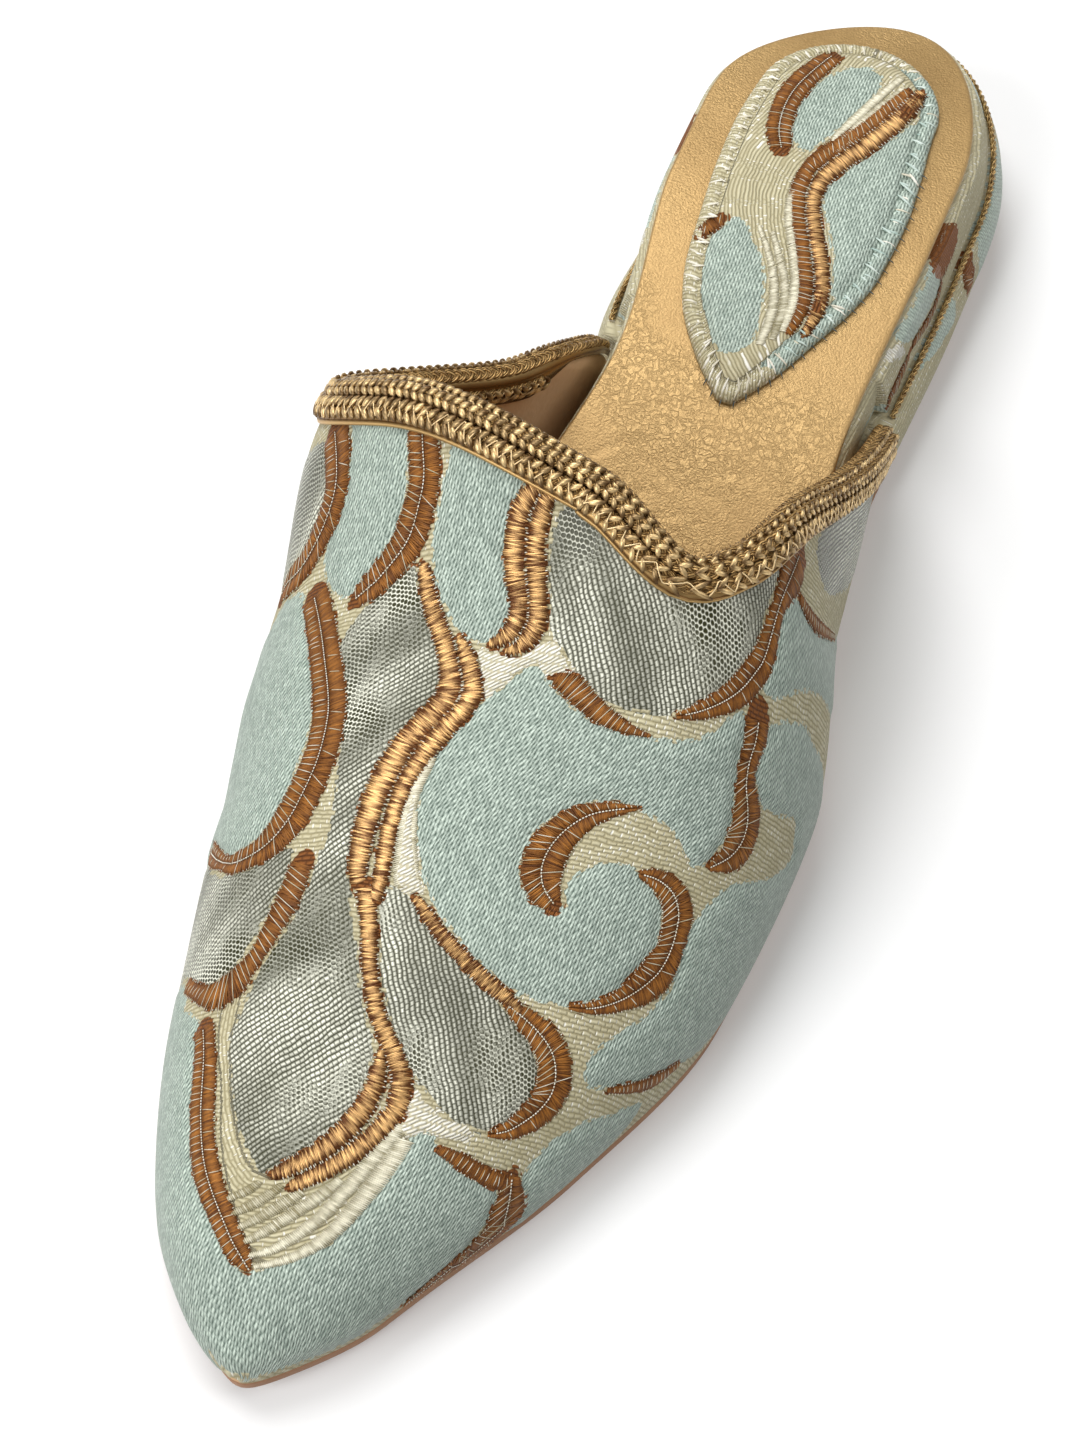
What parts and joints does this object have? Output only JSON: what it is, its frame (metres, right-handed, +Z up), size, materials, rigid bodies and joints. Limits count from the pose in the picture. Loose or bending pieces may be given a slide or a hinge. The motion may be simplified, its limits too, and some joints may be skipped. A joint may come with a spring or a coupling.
{
  "type": "babouche slipper",
  "caption": "Backless pointed slipper with a hollow brocade upper, braided collar, gold insole, padded heel and low covered wedge.",
  "frame": {"origin": "middle of the bounding box on the floor the shoe stands on", "axes": "+Z up, toe towards -Y, heel towards +Y, the foot's outer side towards +X"},
  "size_m": [0.0926, 0.26, 0.069],
  "materials": {
    "outsole": "plain tan sole leather, matt",
    "heel_wedge": "woven brocade stretched over a wedge",
    "platform": "woven brocade wrapped round a board",
    "insole": "gold metallic leather with fine wrinkles",
    "heel_pad": "padded brocade with an overcast edge",
    "upper": "satin and metallic thread brocade, lined",
    "collar_braid": "plaited gold thread braid",
    "heel_cord": "twisted gold cord"
  },
  "bodies": {
    "root": {"outsole": "outsole", "heel_wedge": "heel_wedge", "platform": "platform", "insole": "insole", "heel_pad": "heel_pad", "upper": "upper", "collar_braid": "collar_braid", "heel_cord": "heel_cord"}
  },
  "joints": []
}
